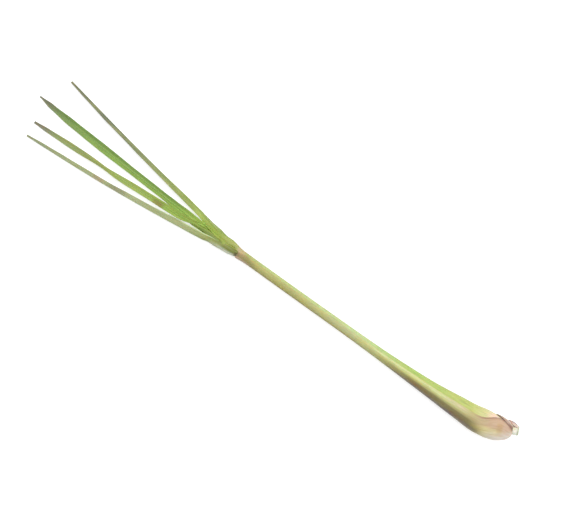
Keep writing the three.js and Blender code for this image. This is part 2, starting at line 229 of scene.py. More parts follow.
class Finish:  # a material built up from nodes
    def __init__(self, name):
        self.material = bpy.data.materials.new(name)
        self.material.use_nodes = True
        self.tree = self.material.node_tree
        self.shader = self.tree.nodes["Principled BSDF"]

    def node(self, kind, settings=None, **inputs):
        made = self.tree.nodes.new(kind)
        for key, value in (settings or {}).items():
            setattr(made, key, value)
        for key, value in inputs.items():
            self.feed(made.inputs[key.replace("_", " ")], value)
        return made

    def feed(self, socket, value):
        if isinstance(value, bpy.types.NodeSocket):
            self.tree.links.new(value, socket)
        else:
            socket.default_value = value

    def set(self, sockets):
        for name, value in sockets.items():
            self.feed(self.shader.inputs[name], value)

    def value(self, name):
        return self.node("ShaderNodeAttribute", {"attribute_name": name}).outputs["Fac"]

    def ranged(self, value, low, high, to=(0.0, 1.0), smooth=True):
        settings = {"interpolation_type": "SMOOTHSTEP" if smooth else "LINEAR"}
        made = self.node("ShaderNodeMapRange", settings)
        for socket, given in zip(made.inputs, (value, low, high, *to)):
            self.feed(socket, given)
        return made.outputs[0]

    def maths(self, operation, first, second):
        made = self.node("ShaderNodeMath", {"operation": operation})
        self.feed(made.inputs[0], first)
        self.feed(made.inputs[1], second)
        return made.outputs[0]

    def mix(self, share, below, above, blend="MIX"):
        made = self.node("ShaderNodeMix", {"data_type": "RGBA", "blend_type": blend})
        for socket, given in ((made.inputs[0], share), (made.inputs[6], below), (made.inputs[7], above)):
            self.feed(socket, given)
        return made.outputs[2]

    def ramp(self, value, stops):
        made = self.node("ShaderNodeValToRGB", Fac=value)
        points = made.color_ramp.elements
        while len(points) < len(stops):
            points.new(0.5)
        for point, (place, colour) in zip(points, stops):
            point.position = place
            point.color = hexColour(colour)
        return made.outputs["Color"]

    def noise(self, vector, scale, detail):
        made = self.node("ShaderNodeTexNoise", Vector=vector, Scale=scale, Detail=detail)
        return made.outputs["Fac"]

    def stretched(self, vector, scale):
        made = self.node("ShaderNodeMapping", Vector=vector)
        made.inputs["Scale"].default_value = scale
        return made.outputs["Vector"]

    def bump(self, height, strength, depth):
        made = self.node("ShaderNodeBump", Height=height, Strength=strength, Distance=depth * mm)
        self.set({"Normal": made.outputs["Normal"]})


# The culm: the short cut stem that every leaf grows from.
culm = {
    "radius": 3.7, "length": 16.8, "shoulder": 5.5, "tipRadius": 1.2, "sides": 72,
    "rings": [0.9, 1.6, 2.4, 3.3, 4.2, 5.5, 8.0, 11.0, 14.0],
    "joints": {1.6: 1.03, 3.3: 1.035},  # rings that swell a little
    "rim": 0.35, "rimSteps": 3, "smoothAngle": 35,
    "cutSteps": [(0.45, 0.05), (0.5, -0.12), (0.9, 0.1), (0.9, -0.06)],  # how far inwards and outwards
    "rimTint": (-1.1, -0.2), "rimTintEnd": (0.9, 2.3),  # from the radius, and along the stem
    "flesh": "#e6e4d6", "rimColour": "#a4ac8c", "rimShare": 0.75, "woody": "#d8d2b8", "stained": "#b9a98c",
    "grainScale": 900.0, "grainDetail": 3.0, "grainRange": (0.3, 0.7), "roughness": (0.45, 0.75),
    "blotchScale": 190.0, "blotchDetail": 2.0, "blotchRange": (0.4, 0.65), "rimRange": (0.2, 0.9),
    "bundleScale": 1700.0, "bundleRange": (0.16, 0.3), "bundleShare": 0.35, "bump": (0.5, 0.1),
    "shader": {"Subsurface Weight": 0.15, "Subsurface Scale": 0.001},
}

# The trimmed roots, as short stubs in rings round the culm.
rootStub = {
    "stations": [1.3, 3.1], "perRing": 7, "sides": 14, "radius": 0.62, "height": 0.35, "sunk": 0.8,
    "inset": 0.3, "dip": 0.08, "pith": 0.1, "foot": 1.25,  # shares of its radius and height
    "reach": 0.75, "reachVaries": 0.3, "reachPace": 1.7, "bedded": 0.55,
}


def culmFinish():
    finish = Finish("culmFlesh")
    spot = finish.node("ShaderNodeTexCoord").outputs["Object"]
    grain = finish.noise(spot, culm["grainScale"], culm["grainDetail"])
    blotch = finish.noise(spot, culm["blotchScale"], culm["blotchDetail"])
    bundles = finish.node("ShaderNodeTexVoronoi", Vector=spot, Scale=culm["bundleScale"])
    blotchMask = finish.ranged(blotch, *culm["blotchRange"])
    bundleAmount = (culm["bundleShare"], 0.0)
    bundleMask = finish.ranged(bundles.outputs["Distance"], *culm["bundleRange"], bundleAmount)
    rimMask = finish.ranged(finish.value("rim"), *culm["rimRange"])
    rimMask = finish.maths("MULTIPLY", rimMask, culm["rimShare"])
    colour = finish.mix(blotchMask, hexColour(culm["flesh"]), hexColour(culm["woody"]))
    colour = finish.mix(bundleMask, colour, hexColour(culm["stained"]))
    colour = finish.mix(rimMask, colour, hexColour(culm["rimColour"]))
    roughness = finish.ranged(grain, *culm["grainRange"], culm["roughness"])
    finish.set({"Base Color": colour, "Roughness": roughness})
    finish.bump(grain, *culm["bump"])
    finish.set(culm["shader"])
    return finish.material


def makeRootStub():
    deselectAll()
    radius, height = rootStub["radius"] * mm, (rootStub["height"] + rootStub["sunk"]) * mm
    bpy.ops.mesh.primitive_cylinder_add(vertices=rootStub["sides"], radius=radius, depth=height)
    stub = bpy.context.object
    nearEnd = height * 0.49
    bpy.ops.object.mode_set(mode="EDIT")
    selectPart(stub, "faces", lambda co: co.z > nearEnd)
    for rise in (-rootStub["dip"], rootStub["pith"]):
        bpy.ops.mesh.inset(thickness=radius * rootStub["inset"])
        bpy.ops.transform.translate(value=(0, 0, height * rise))
    selectPart(stub, "verts", lambda co: co.z < -nearEnd)
    foot = rootStub["foot"]
    bpy.ops.transform.resize(value=(foot, foot, 1), center_override=(0, 0, -height / 2))
    bpy.ops.object.mode_set(mode="OBJECT")
    return stub


def makeRootStubs(half):
    stubs = []
    for ring, station in enumerate(rootStub["stations"]):
        for i in range(rootStub["perRing"]):
            stub = stubs[0].copy() if stubs else makeRootStub()
            if stubs:
                stub.data = stubs[0].data.copy()
                bpy.context.collection.objects.link(stub)
            angle = (i + ring / 2) / rootStub["perRing"] * 2 * math.pi
            out = Vector((math.cos(angle), math.sin(angle), 0))
            share = rootStub["reach"] + rootStub["reachVaries"] * ripple(i * rootStub["reachPace"], ring)
            reach = culm["radius"] + rootStub["height"] * share - rootStub["bedded"]
            place = out * reach * mm + Vector((0, 0, station * mm - half))
            stub.matrix_world = Matrix.LocRotScale(place, out.to_track_quat("Z", "Y"), None)
            stubs.append(stub)
    return stubs


def makeCulm():
    deselectAll()
    middle, along, _, _ = stalkLine.at(0)
    half = culm["length"] / 2 * mm
    bpy.ops.mesh.primitive_cylinder_add(vertices=culm["sides"], radius=culm["radius"] * mm, depth=2 * half)
    piece = bpy.context.object
    piece.name = "cutCulm"
    bpy.ops.object.mode_set(mode="EDIT")
    for station in culm["rings"]:  # rings along the stem, then its taper and its swollen joints
        bpy.ops.mesh.select_all(action="SELECT")
        bpy.ops.mesh.bisect(plane_co=(0, 0, station * mm - half), plane_no=(0, 0, 1))
    for station in [*culm["rings"], culm["length"]]:
        height = station * mm - half
        size = culmRadius(station) / culm["radius"] * culm["joints"].get(station, 1)
        selectPart(piece, "verts", lambda co: abs(co.z - height) < nearly)
        bpy.ops.transform.resize(value=(size, size, 1), center_override=(0, 0, height))
    selectPart(piece, "edges", lambda co: co.z + half < nearly)  # the worn rim of the cut
    bpy.ops.mesh.bevel(offset=culm["rim"] * mm, segments=culm["rimSteps"])
    selectPart(piece, "faces", lambda co: co.z + half < nearly and co.xy.length < nearly)
    for inward, outward in culm["cutSteps"]:  # the knife left the cut face stepped
        bpy.ops.mesh.inset(thickness=inward * mm)
        bpy.ops.transform.translate(value=(0, 0, -outward * mm))
    bpy.ops.mesh.poke()
    bpy.ops.object.mode_set(mode="OBJECT")
    stubs = makeRootStubs(half)
    useOnly(piece, *stubs)
    bpy.ops.object.join()
    laidDown = Vector((0, 0, 1)).rotation_difference(Vector((0, 1, 0)))
    turn = Vector((0, 1, 0)).rotation_difference(along) @ laidDown
    piece.matrix_world = Matrix.LocRotScale((middle + along * culm["length"] / 2) * mm, turn, None)
    bpy.ops.object.transform_apply(location=True, rotation=True, scale=True)
    rim = piece.data.attributes.new("rim", "FLOAT", "POINT")
    low, high = [culm["radius"] + offset for offset in culm["rimTint"]]
    for vertex, tint in zip(piece.data.vertices, rim.data):
        offset = vertex.co - middle * mm
        out = (offset - along * offset.dot(along)).length / mm
        near = offset.dot(along) / mm
        tint.value = smoothStep(out, low, high) * (1 - smoothStep(near, *culm["rimTintEnd"]))
    bpy.ops.object.shade_smooth_by_angle(angle=math.radians(culm["smoothAngle"]))
    piece.data.materials.append(culmFinish())
    finishPiece(piece, "culm", "culm")


# What the skin of every leaf shares. Scales are for its own map, which is 1 wide and 1 for each mapLength.
skin = {
    "mapLength": 10, "smoothAngle": 50,
    "patchScale": (3.0, 0.5, 1), "patchDetail": 3.0, "patchRange": (0.4, 0.7),  # broad uneven ripening
    "fibreStretch": 0.9, "fibreDetail": 4.0, "fibreRange": (0.3, 0.7),  # long fine streaks
    "fibrePlaces": (0.3, 0.52, 0.7), "fibreLights": ("#f4f4f4", "#ffffff"),
    "markRange": (0.3, 0.6), "veinSize": 3.2, "veinDistortion": 0.6, "bump": (0.5, 0.06),
}
waxy = {"Subsurface Weight": 0.12, "Subsurface Scale": 0.0012, "Specular IOR Level": 0.35}


def mark(colour, strength, even, broad=False, **where):
    # A tint in one part of a leaf. "even" is the share of it that is there all over, and the rest comes
    # and goes with the fibres, or with the broad patches. Each part of "where" is a point attribute with
    # the places (start, full, full end, end), where None leaves that side open.
    return {"colour": colour, "strength": strength, "even": even, "broad": broad, "where": where}


def leafFinish(name, look):
    finish = Finish(name)
    onLeaf = finish.node("ShaderNodeUVMap", {"uv_map": "leafMap"}).outputs["UV"]
    first, last = look["along"][0][0], look["along"][-1][0]
    share = finish.ranged(finish.value("station"), first, last, smooth=False)
    colour = finish.ramp(share, [((s - first) / (last - first), c) for s, c in look["along"]])
    fibreScale = (look["veins"], skin["fibreStretch"], 1)
    patches = finish.noise(finish.stretched(onLeaf, skin["patchScale"]), 1.0, skin["patchDetail"])
    fibres = finish.noise(finish.stretched(onLeaf, fibreScale), 1.0, skin["fibreDetail"])
    ripe = finish.ranged(patches, *skin["patchRange"], (0.0, look["ripe"]))
    colour = finish.mix(ripe, colour, hexColour(look["ripeColour"]))
    for layer in look["marks"]:
        amount = (layer["strength"] * layer["even"], layer["strength"])
        mask = finish.ranged(patches if layer["broad"] else fibres, *skin["markRange"], amount)
        for attribute, (start, full, fullEnd, end) in layer["where"].items():
            value = finish.value(attribute)
            if start is not None:
                mask = finish.maths("MULTIPLY", mask, finish.ranged(value, start, full))
            if end is not None:
                mask = finish.maths("MULTIPLY", mask, finish.ranged(value, fullEnd, end, (1.0, 0.0)))
        colour = finish.mix(mask, colour, hexColour(layer["colour"]))
    shades = [look["fibreDark"], *skin["fibreLights"]]
    shade = finish.ramp(fibres, list(zip(skin["fibrePlaces"], shades)))
    colour = finish.mix(look["fibreShare"], colour, shade, "MULTIPLY")
    roughness = finish.ranged(fibres, *skin["fibreRange"], look["roughness"])
    finish.set({"Base Color": colour, "Roughness": roughness})
    scale = look["veins"] / skin["veinSize"]
    veins = finish.node("ShaderNodeTexWave", {"bands_direction": "X"}, Vector=onLeaf, Scale=scale)
    veins.inputs["Distortion"].default_value = skin["veinDistortion"]
    finish.bump(finish.maths("ADD", veins.outputs["Fac"], fibres), *skin["bump"])
    finish.set(waxy)
    return finish.material


def finishLeaf(piece, leaf, slotName, *nodes):
    piece.data.materials.append(leafFinish(piece.name + "Skin", leaf["look"]))
    finishPiece(piece, slotName, *nodes)
    print(piece.name, len(piece.data.polygons), "faces")


def layLeaf(name, leaf, rings, pointAt):
    # A grid is laid out along the leaf, then given its thickness. "rings" is a list of (place, number of
    # rings up to it), and pointAt(run)(across) gives the outer face, thickness, turn and edge distance.
    deselectAll()
    runs = [rings[0][0]]
    for (start, _), (end, count) in zip(rings, rings[1:]):
        runs += [lerp(start, end, (i + 1) / count) for i in range(count)]
    rows = len(runs) - 1
    bpy.ops.mesh.primitive_grid_add(x_subdivisions=leaf["columns"], y_subdivisions=rows, size=2)
    piece = bpy.context.object
    piece.name = name
    mesh = piece.data
    across = [vertex.co.x for vertex in mesh.vertices]
    row = [round((vertex.co.y + 1) / 2 * rows) for vertex in mesh.vertices]
    group = piece.vertex_groups.new(name="thickness")
    ring, values = {}, {"station": [], "turn": [], "edge": [], "across": across}
    for vertex in mesh.vertices:
        i = vertex.index
        if row[i] not in ring:
            ring[row[i]] = pointAt(runs[row[i]])
        point, thickness, turn, edge = ring[row[i]](across[i])
        vertex.co = point * mm
        group.add([i], thickness / leaf["thickest"], "REPLACE")
        for key, value in (("station", runs[row[i]]), ("turn", turn), ("edge", edge)):
            values[key].append(value)
    for key, given in values.items():
        mesh.attributes.new(key, "FLOAT", "POINT").data.foreach_set("value", given)
    mesh.uv_layers[0].name = "leafMap"
    corners = mesh.uv_layers["leafMap"].data
    for loop in mesh.loops:
        v = loop.vertex_index
        corners[loop.index].uv = ((across[v] + 1) / 2, runs[row[v]] / skin["mapLength"])
    solid = piece.modifiers.new("thickness", "SOLIDIFY")
    solid.thickness = leaf["thickest"] * mm
    solid.offset = -1
    solid.vertex_group = "thickness"
    bpy.ops.object.modifier_apply(modifier="thickness")
    bpy.ops.object.shade_smooth_by_angle(angle=math.radians(skin["smoothAngle"]))
    return piece


# What every sheath and every blade shares. A "pace" is how quickly an unevenness changes.
sheath = {"dent": 0.07, "dentPace": 0.035, "dentPaceRound": 0.02, "marginThins": 0.55}
blade = {
    "footThickness": 0.6, "thickness": 0.34, "ribThickness": 0.95, "ribWidth": 0.2, "settled": 30,
    "tipFrom": 0.9, "tipThins": 0.55, "marginThins": 0.45, "marginWidth": 0.8,
    "rollVaries": 3, "rollPace": 0.03, "rollSeed": 3.0, "widthVaries": 0.03, "widthPace": 0.08,
    "wavePower": 1.5, "wavePace": 0.055, "wavePaceAcross": 0.6, "waveSeed": 7.0, "ridgePower": 4,
}


def rolledRing(leaf, station, torn=None):  # a ring of the sheath
    middle, along, level, upright = stalkLine.at(station)
    layer, midrib = leaf["layer"], leaf["midrib"]
    swell = leaf["swell"](station) if "swell" in leaf else 0

    def point(across):
        turn = midrib + leaf["spread"](station, across)
        margin = midrib + leaf["spread"](station, 1 if across > 0 else -1)
        outer = layerRadius(station, layer, turn) + swell
        for bulge, fade in leaf.get("bulges", []):
            outer += bulge(station) * fade(turn)
        thickness = min(outer - hollowRadius(station, layer, turn), leaf["thickest"])
        edge = abs(math.radians(margin - turn)) * outer
        thin = 1 - smoothStep(edge, 0, leaf["edgeTaper"])
        ridge = leaf["ridgeHeight"] * math.cos(leaf["ridges"] * math.radians(turn)) * (1 - thin)
        dent = sheath["dent"] * ripple(station * sheath["dentPace"], turn * sheath["dentPaceRound"], layer)
        radius = outer + ridge + dent - thin * thickness / 2
        spot = middle + rayAt(level, upright, turn) * radius
        if torn:
            spot = spot + along * torn(station, turn)
        return spot, thickness * (1 - sheath["marginThins"] * thin), turn, edge

    return point


def bladeRing(leaf, route, place):  # a ring of the blade, folded along its midrib
    share = place / route.length
    middle, _, level, upright = route.at(place)
    layer, keel = leaf["layer"], leaf["keel"](share)
    rollNoise = ripple(place * blade["rollPace"], blade["rollSeed"], layer)
    turn = leaf["roll"](share) + blade["rollVaries"] * rollNoise
    outward, sideways = rayAt(level, upright, turn), rayAt(level, upright, turn + 90)
    widthNoise = ripple(place * blade["widthPace"], 0.0, layer)
    half = leaf["halfWidth"](share) * (1 + blade["widthVaries"] * widthNoise)
    openness = math.radians(leaf["open"](share))
    fold = half * math.cos(openness)
    wholeFold = math.hypot(1, keel) - keel
    settled = smoothStep(place, 0, blade["settled"])
    sides = lerp(blade["footThickness"], blade["thickness"], settled)
    taper = lerp(1, blade["tipThins"], smoothStep(share, blade["tipFrom"], 1))
    waveSeed = blade["waveSeed"] + layer

    def point(across):
        depth = (math.hypot(across, keel) - keel) / wholeFold
        waveNoise = ripple(place * blade["wavePace"], across * blade["wavePaceAcross"], waveSeed)
        wave = leaf["wave"] * abs(across) ** blade["wavePower"] * waveNoise
        ridge = leaf["ridgeOnBlade"] * math.cos(leaf["ridgesOnBlade"] * math.pi * across)
        ridge *= 1 - across ** blade["ridgePower"]
        spot = middle + sideways * across * half * math.sin(openness)
        spot = spot + outward * ((0.5 - depth) * fold + (wave + ridge) * settled)
        rib = math.exp(-((across / blade["ribWidth"]) ** 2)) * (1 - share * share)
        edge = (1 - abs(across)) * half
        thinned = blade["marginThins"] * (1 - smoothStep(edge, 0, blade["marginWidth"])) * settled
        thickness = lerp(sides, blade["ribThickness"], rib) * taper * (1 - thinned)
        return spot, thickness, turn + across * 90, edge

    return point


def makeLeaf(name, leaf, nodeName):  # the sheath, which opens at its throat and settles into the blade
    throat = leaf["collar"] + stalk["throat"]
    settling, layer = leaf["settling"], leaf["layer"]
    middle, _, level, upright = stalkLine.at(throat)
    offCentre = leaf["offCentre"] * layerRadius(throat, layer)
    start = middle + rayAt(level, upright, leaf["midrib"]) * offCentre
    route = Route([start, *(drawn(*p) for p in leaf["path"])])

    def spreadAt(station, across):
        opened = smoothStep(station, throat - leaf["opening"], throat)
        return across * lerp(leaf["wrap"], leaf["footWrap"][across > 0], opened)

    leaf["spread"] = spreadAt
    count = stalk["throatRings"]
    rings = [*leaf["sheathRings"], (throat, count), (throat + settling, count)]
    rings.append((throat + route.length, leaf["bladeRings"]))

    def pointAt(run):
        if run <= throat:
            return rolledRing(leaf, run)
        place = run - throat
        own = bladeRing(leaf, route, place)
        grown = smoothStep(place, 0, settling)
        if grown >= 1:
            return own
        rolled = rolledRing(leaf, run)

        def point(across):
            (spotA, *restA), (spotB, *restB) = rolled(across), own(across)
            return spotA.lerp(spotB, grown), *(lerp(a, b, grown) for a, b in zip(restA, restB))

        return point

    finishLeaf(layLeaf(name, leaf, rings, pointAt), leaf, nodeName, nodeName)


# The outermost leaf: its blade was trimmed off at the collar, so only the tan and olive sheath is left.
outerSheath = {
    "layer": 0, "midrib": -25, "columns": 120, "thickest": 1.0, "edgeTaper": 1.6,
    "rings": [(5.2, 0), (9, 8), (40, 44), (60, 16), (250, 100), (262, 12), (267.5, 12)],
    "bulges": [(  # the bulb is fuller low on its +Y side
        through((5, 0), (9, 0.9), (24, 1.0), (32, 0.5), (48, 0)),
        lambda turn: smoothStep(math.cos(math.radians(turn)), 0, 0.8),
    )],
    "margin": 112, "gap": 115, "gapFrom": 10, "openFrom": 34,
    "seamTop": 143, "seamFrom": 16, "seamDrop": 46, "seamWidth": 1,
    "marginVaries": 2.2, "marginPace": 0.05,
    "ragged": 0.45, "raggedFrom": 262, "raggedPace": 0.09, "raggedSeed": 4.0,
    "rim": 0.15, "rimLength": 2.5, "rimBack": 0.6,  # the collar stands out a little
    "ridges": 30, "ridgeHeight": 0.05,
    "look": {
        "along": [
            (5, "#c9b3a2"), (13, "#c2ab91"), (24, "#bda886"), (38, "#b3a874"), (60, "#b9b878"),
            (105, "#bcbf78"), (156, "#b5b986"), (225, "#aaa866"), (240, "#a8a86e"), (258, "#979056"),
            (267.5, "#a28e64"),
        ],
        "veins": 70, "ripe": 0.45, "ripeColour": "#c7bf62", "roughness": (0.36, 0.58),
        "fibreDark": "#c9b58f", "fibreShare": 0.55,
        "marks": [
            # the olive shade along the stalk's lower side, its own tint deepened by painted shade, and the
            # paler green above it, a painted highlight along the top
            mark("#7a6f4a", 0.92, 0.8, station=(30, 42, 82, 150), turn=(None, None, 64, 86)),
            mark("#7a6f4a", 0.9, 0.6, station=(19, 30, 38, 48), turn=(None, None, 30, 64)),
            # a painted highlight: a paler green band along the top of the stalk
            mark("#d4dda4", 0.55, 0.4, station=(56, 70, 130, 150), turn=(86, 95, 106, 113)),
            mark("#dccfb6", 0.45, 0.2, True, station=(40, 50, 60, 70), turn=(84, 96, None, None)),
            mark("#6d5f66", 0.6, 0.2, True, station=(30, 45, 100, 130), turn=(None, None, 30, 52)),
            # painted shade deepens the olive along the lower edge
            mark("#94803f", 0.7, 0.6, station=(110, 165, 240, 262), turn=(None, None, 22, 50)),
            # brown and purplish stains past the bulb
            mark("#7e5238", 0.6, 0.35, True, station=(42, 47, 55, 62), turn=(22, 36, 48, 58)),
            mark("#8a6238", 0.5, 0.3, True, station=(60, 72, 92, 104), turn=(34, 44, 56, 66)),
            mark("#5d4d58", 0.55, 0.3, True, station=(50, 58, 74, 84), turn=(2, 12, 32, 42)),
            # the pink, cream and brown of the bulb
            mark("#c08f80", 0.5, 0.1, True, station=(4, 8, 30, 44), turn=(60, 90, None, None)),
            mark("#d6cc94", 0.8, 0.3, True, station=(12, 18, 26, 34), turn=(None, None, 60, 88)),
            mark("#b4945a", 0.6, 0.5, station=(12.5, 15, 16.5, 19.5), turn=(46, 62, 98, 114)),
            mark("#cdbf9a", 0.7, 0.45, station=(None, None, 22, 60), turn=(None, None, -8, 34)),
            mark("#e6dccf", 0.9, 0.75, station=(None, None, 17, 31), turn=(None, None, 36, 78)),
            mark("#96705f", 0.85, 0.6, station=(None, None, 28, 40), edge=(None, None, 0.7, 2.4)),
            mark("#7d5c4e", 0.75, 0.5, station=(None, None, 12, 19), edge=(None, None, 0.9, 3.0)),
            mark("#bda08f", 0.85, 0.6, station=(7, 10, 20, 27), turn=(None, None, -204, -192)),
            # the dried collar
            mark("#c9ad9c", 0.8, 0.6, station=(250, 261, None, None), turn=(None, None, 34, 62)),
            mark("#c7ad80", 0.85, 0.7, station=(260, 264, None, None), turn=(88, 106, None, None)),
            mark("#8a6c50", 0.6, 0.3, station=(264.5, 266.5, None, None), turn=(44, 60, 84, 104)),
        ],
    },
}


def makeOuterSheath():
    leaf = outerSheath

    def spreadAt(station, across):  # both margins meet in a seam that runs over the bulb to the cut culm
        opened = smoothStep(station, leaf["seamFrom"], leaf["openFrom"])
        drop = max(0, (leaf["seamFrom"] - station) / (leaf["seamFrom"] - leaf["rings"][0][0]))
        upper = lerp(leaf["seamTop"], leaf["margin"], opened) - leaf["seamDrop"] * drop ** 2
        gap = leaf["gap"] * smoothStep(station, leaf["gapFrom"], leaf["openFrom"])
        lower = upper + leaf["seamWidth"] + gap
        wavering = leaf["marginVaries"] * ripple(station * leaf["marginPace"], across) * opened
        reach = upper - leaf["midrib"] if across > 0 else 360 - lower + leaf["midrib"]
        return across * (reach + wavering)

    def torn(station, turn):  # the dried collar is a little ragged
        share = smoothStep(station, leaf["raggedFrom"], stalk["collar"])
        return share * leaf["ragged"] * ripple(turn * leaf["raggedPace"], leaf["raggedSeed"])

    def swell(station):
        past = (station - stalk["collar"]) / leaf["rimLength"] + leaf["rimBack"]
        return leaf["rim"] * math.exp(-(past ** 2))

    leaf["spread"] = spreadAt
    leaf["swell"] = swell
    piece = layLeaf("outerSheath", leaf, leaf["rings"], lambda station: rolledRing(leaf, station, torn))
    useOnly(piece)
    bpy.ops.object.mode_set(mode="EDIT")  # the bulb is pressed flat where it rests
    selectPart(piece, "verts", lambda co: co.z < 0)
    bpy.ops.transform.resize(value=(1, 1, 0), center_override=(0, 0, 0))
    bpy.ops.object.mode_set(mode="OBJECT")
    finishLeaf(piece, leaf, "outer_sheath", "outer_sheath")


# The first leaf: its sheath shows green along one side of the stalk, and its blade stands nearly on edge.
firstLeaf = {
    "layer": 1, "midrib": 180, "wrap": 160, "footWrap": (60, 60), "opening": 10, "settling": 17,
    "collar": 267.5, "offCentre": 0.72, "thickest": 1.2, "columns": 72, "edgeTaper": 1.2,
    "sheathRings": [(8.2, 0), (12, 6), (40, 40), (60, 14), (255, 90)], "bladeRings": 120,
    "bulges": [
        (through(  # out of the gap that the outermost leaf leaves
            (16, 0), (30, 1.6), (50, 1.6), (84, 0.6), (155, 0.5), (200, 0.2), (250, 0.05), (262, 0.1),
            (267, 0.4), (271, 0),
        ), around(172, 26, 52)),
        (through((265.5, 0), (271, 1.1), (279, 1.9), (290, 2.4)), around(186, 24, 66)),  # past the collar
    ],
    "path": [
        (244, -15.2, 5.3), (252, -16.1, 5.3), (258.4, -17.6, 5.3), (264, -19.2, 5.4), (269.6, -20.8, 5.4),
        (276, -22.1, 5.4), (285.6, -24.3, 5.3), (304.8, -28.2, 5.2), (320, -31.4, 4.9),
        (333.6, -34.4, 4.7), (372, -43.5, 3.4), (391, -48.3, 2.9), (414.4, -54.2, 1.9),
    ],
    "roll": through(
        (0, 160), (0.05, 112), (0.1, 114), (0.16, 122), (0.25, 148), (0.3, 150), (0.6, 168), (1, 162),
    ),
    "halfWidth": through(
        (0, 5.4), (0.09, 6.0), (0.15, 5.5), (0.19, 4.8), (0.25, 4.75), (0.45, 4.0), (0.75, 3.4),
        (0.9, 2.9), (1, 2.1),
    ),
    "open": through((0, 50), (0.05, 42), (0.2, 38), (0.6, 44), (1, 52)),
    "keel": through((0, 1.2), (0.08, 0.7), (0.3, 0.12)),
    "ridges": 26, "ridgeHeight": 0.04, "ridgesOnBlade": 9, "ridgeOnBlade": 0.035, "wave": 0.25,
    "look": {
        "along": [
            (8, "#d9c2a2"), (24, "#dacf9e"), (44, "#b6be66"), (100, "#a4be62"), (150, "#bccb8e"),
            (240, "#b4be7a"), (264, "#a6a866"), (274, "#9ba454"), (290, "#98ab4b"), (306, "#8ca34a"),
            (330, "#8b9c4e"), (370, "#80895c"), (420, "#6a715d"), (465, "#666854"),
        ],
        "veins": 60, "ripe": 0.35, "ripeColour": "#b7b970", "roughness": (0.38, 0.6),
        "fibreDark": "#9fae78", "fibreShare": 0.5,
        "marks": [
            # the pink of the leaf's base, with a painted highlight on it beside the seam
            mark("#f0c8b8", 0.85, 0.6, station=(None, None, 22, 31), turn=(None, None, 146, 166)),
            mark("#bfa880", 0.8, 0.7, station=(260, 264, 268, 270.5)),
            mark("#b6ca66", 0.75, 0.7, station=(282, 292, 308, 320), across=(None, None, -0.5, -0.25)),
            mark("#75873a", 0.6, 0.6, station=(270, 278, 308, 320), across=(-0.25, 0.05, None, None)),
            mark("#a3b07c", 0.7, 0.6, station=(335, 370, None, None), across=(0.05, 0.3, None, None)),
            mark("#d7d6b0", 0.5, 0.6, station=(285, 300, None, None), across=(-0.09, -0.02, 0.02, 0.09)),
        ],
    },
}

# The second leaf: its tube of a sheath comes out of the collar, and its blade is the near side of the fan.
secondLeaf = {
    "layer": 2, "midrib": 0, "wrap": 160, "footWrap": (84, 90), "opening": 5, "settling": 14,
    "collar": 279.5, "offCentre": 0.5, "thickest": 1.2, "columns": 60, "edgeTaper": 1.0,
    "sheathRings": [(11.2, 0), (30, 10), (250, 40), (262, 8)], "bladeRings": 120,
    "bulges": [
        (through((265.6, 0), (268.4, 1.65), (274, 1.3), (284, 0.85)), around(0, 76, 130)),
        (through((273, 0), (284, -1.4)), around(100, 30, 75)),  # pressed in on top
    ],
    "path": [
        (252, -6.1, 5.5), (258, -5.4, 5.3), (266.4, -4.7, 5.0), (285.6, -3.3, 4.7), (314, -1.4, 4.6),
        (352.8, 0.3, 4.0), (391, 1.0, 3.3), (421.6, 1.5, 2.1),
    ],
    "roll": through((0, 5), (0.1, 30), (0.2, 33), (0.34, 24), (0.6, 10), (1, 14)),
    "halfWidth": through((0, 5.3), (0.14, 5.3), (0.4, 4.4), (0.75, 4.0), (0.9, 3.3), (1, 2.1)),
    "open": through((0, 42), (0.2, 38), (0.6, 46), (1, 52)),
    "keel": through((0, 0.8), (0.3, 0.12)),
    "ridges": 22, "ridgeHeight": 0.035, "ridgesOnBlade": 9, "ridgeOnBlade": 0.035, "wave": 0.25,
    "look": {
        "along": [
            (11, "#d8d3a8"), (200, "#c5c98c"), (262, "#757c30"), (280, "#707b31"), (292, "#8d9850"),
            (304, "#9ba56e"), (318, "#a3ac7c"), (340, "#a2ac7c"), (372, "#b0ba90"), (420, "#abb687"),
            (462, "#98a17e"), (475, "#86886e"),
        ],
        "veins": 60, "ripe": 0.4, "ripeColour": "#a9ab6a", "roughness": (0.4, 0.62),
        "fibreDark": "#a8ad8c", "fibreShare": 0.5,
        "marks": [
            # the tube's pale lower side, partly its own pale margin and partly painted light that lifts
            # the shade there
            mark("#d3d8bf", 0.9, 0.8, station=(264, 268, 276, 300), turn=(-50, 10, 34, 64)),
            # a painted shadow under the rim of the outer sheath's collar, where this leaf comes out of it
            mark("#5a4a2c", 0.85, 0.6, station=(None, None, 269, 271), turn=(16, 32, 70, 86)),
            mark("#b3be5e", 0.8, 0.7, station=(262, 265, 278, 284), turn=(102, 110, 128, 138)),
            mark("#cfe0ac", 0.8, 0.8, station=(284, 296, 330, 350), edge=(None, None, 0.4, 0.8)),
            mark("#b98f7c", 0.45, 0.3, station=(388, 392, 396, 401)),
            mark("#7c705a", 0.5, 0.2, station=(366, 373, 379, 388)),
        ],
    },
}

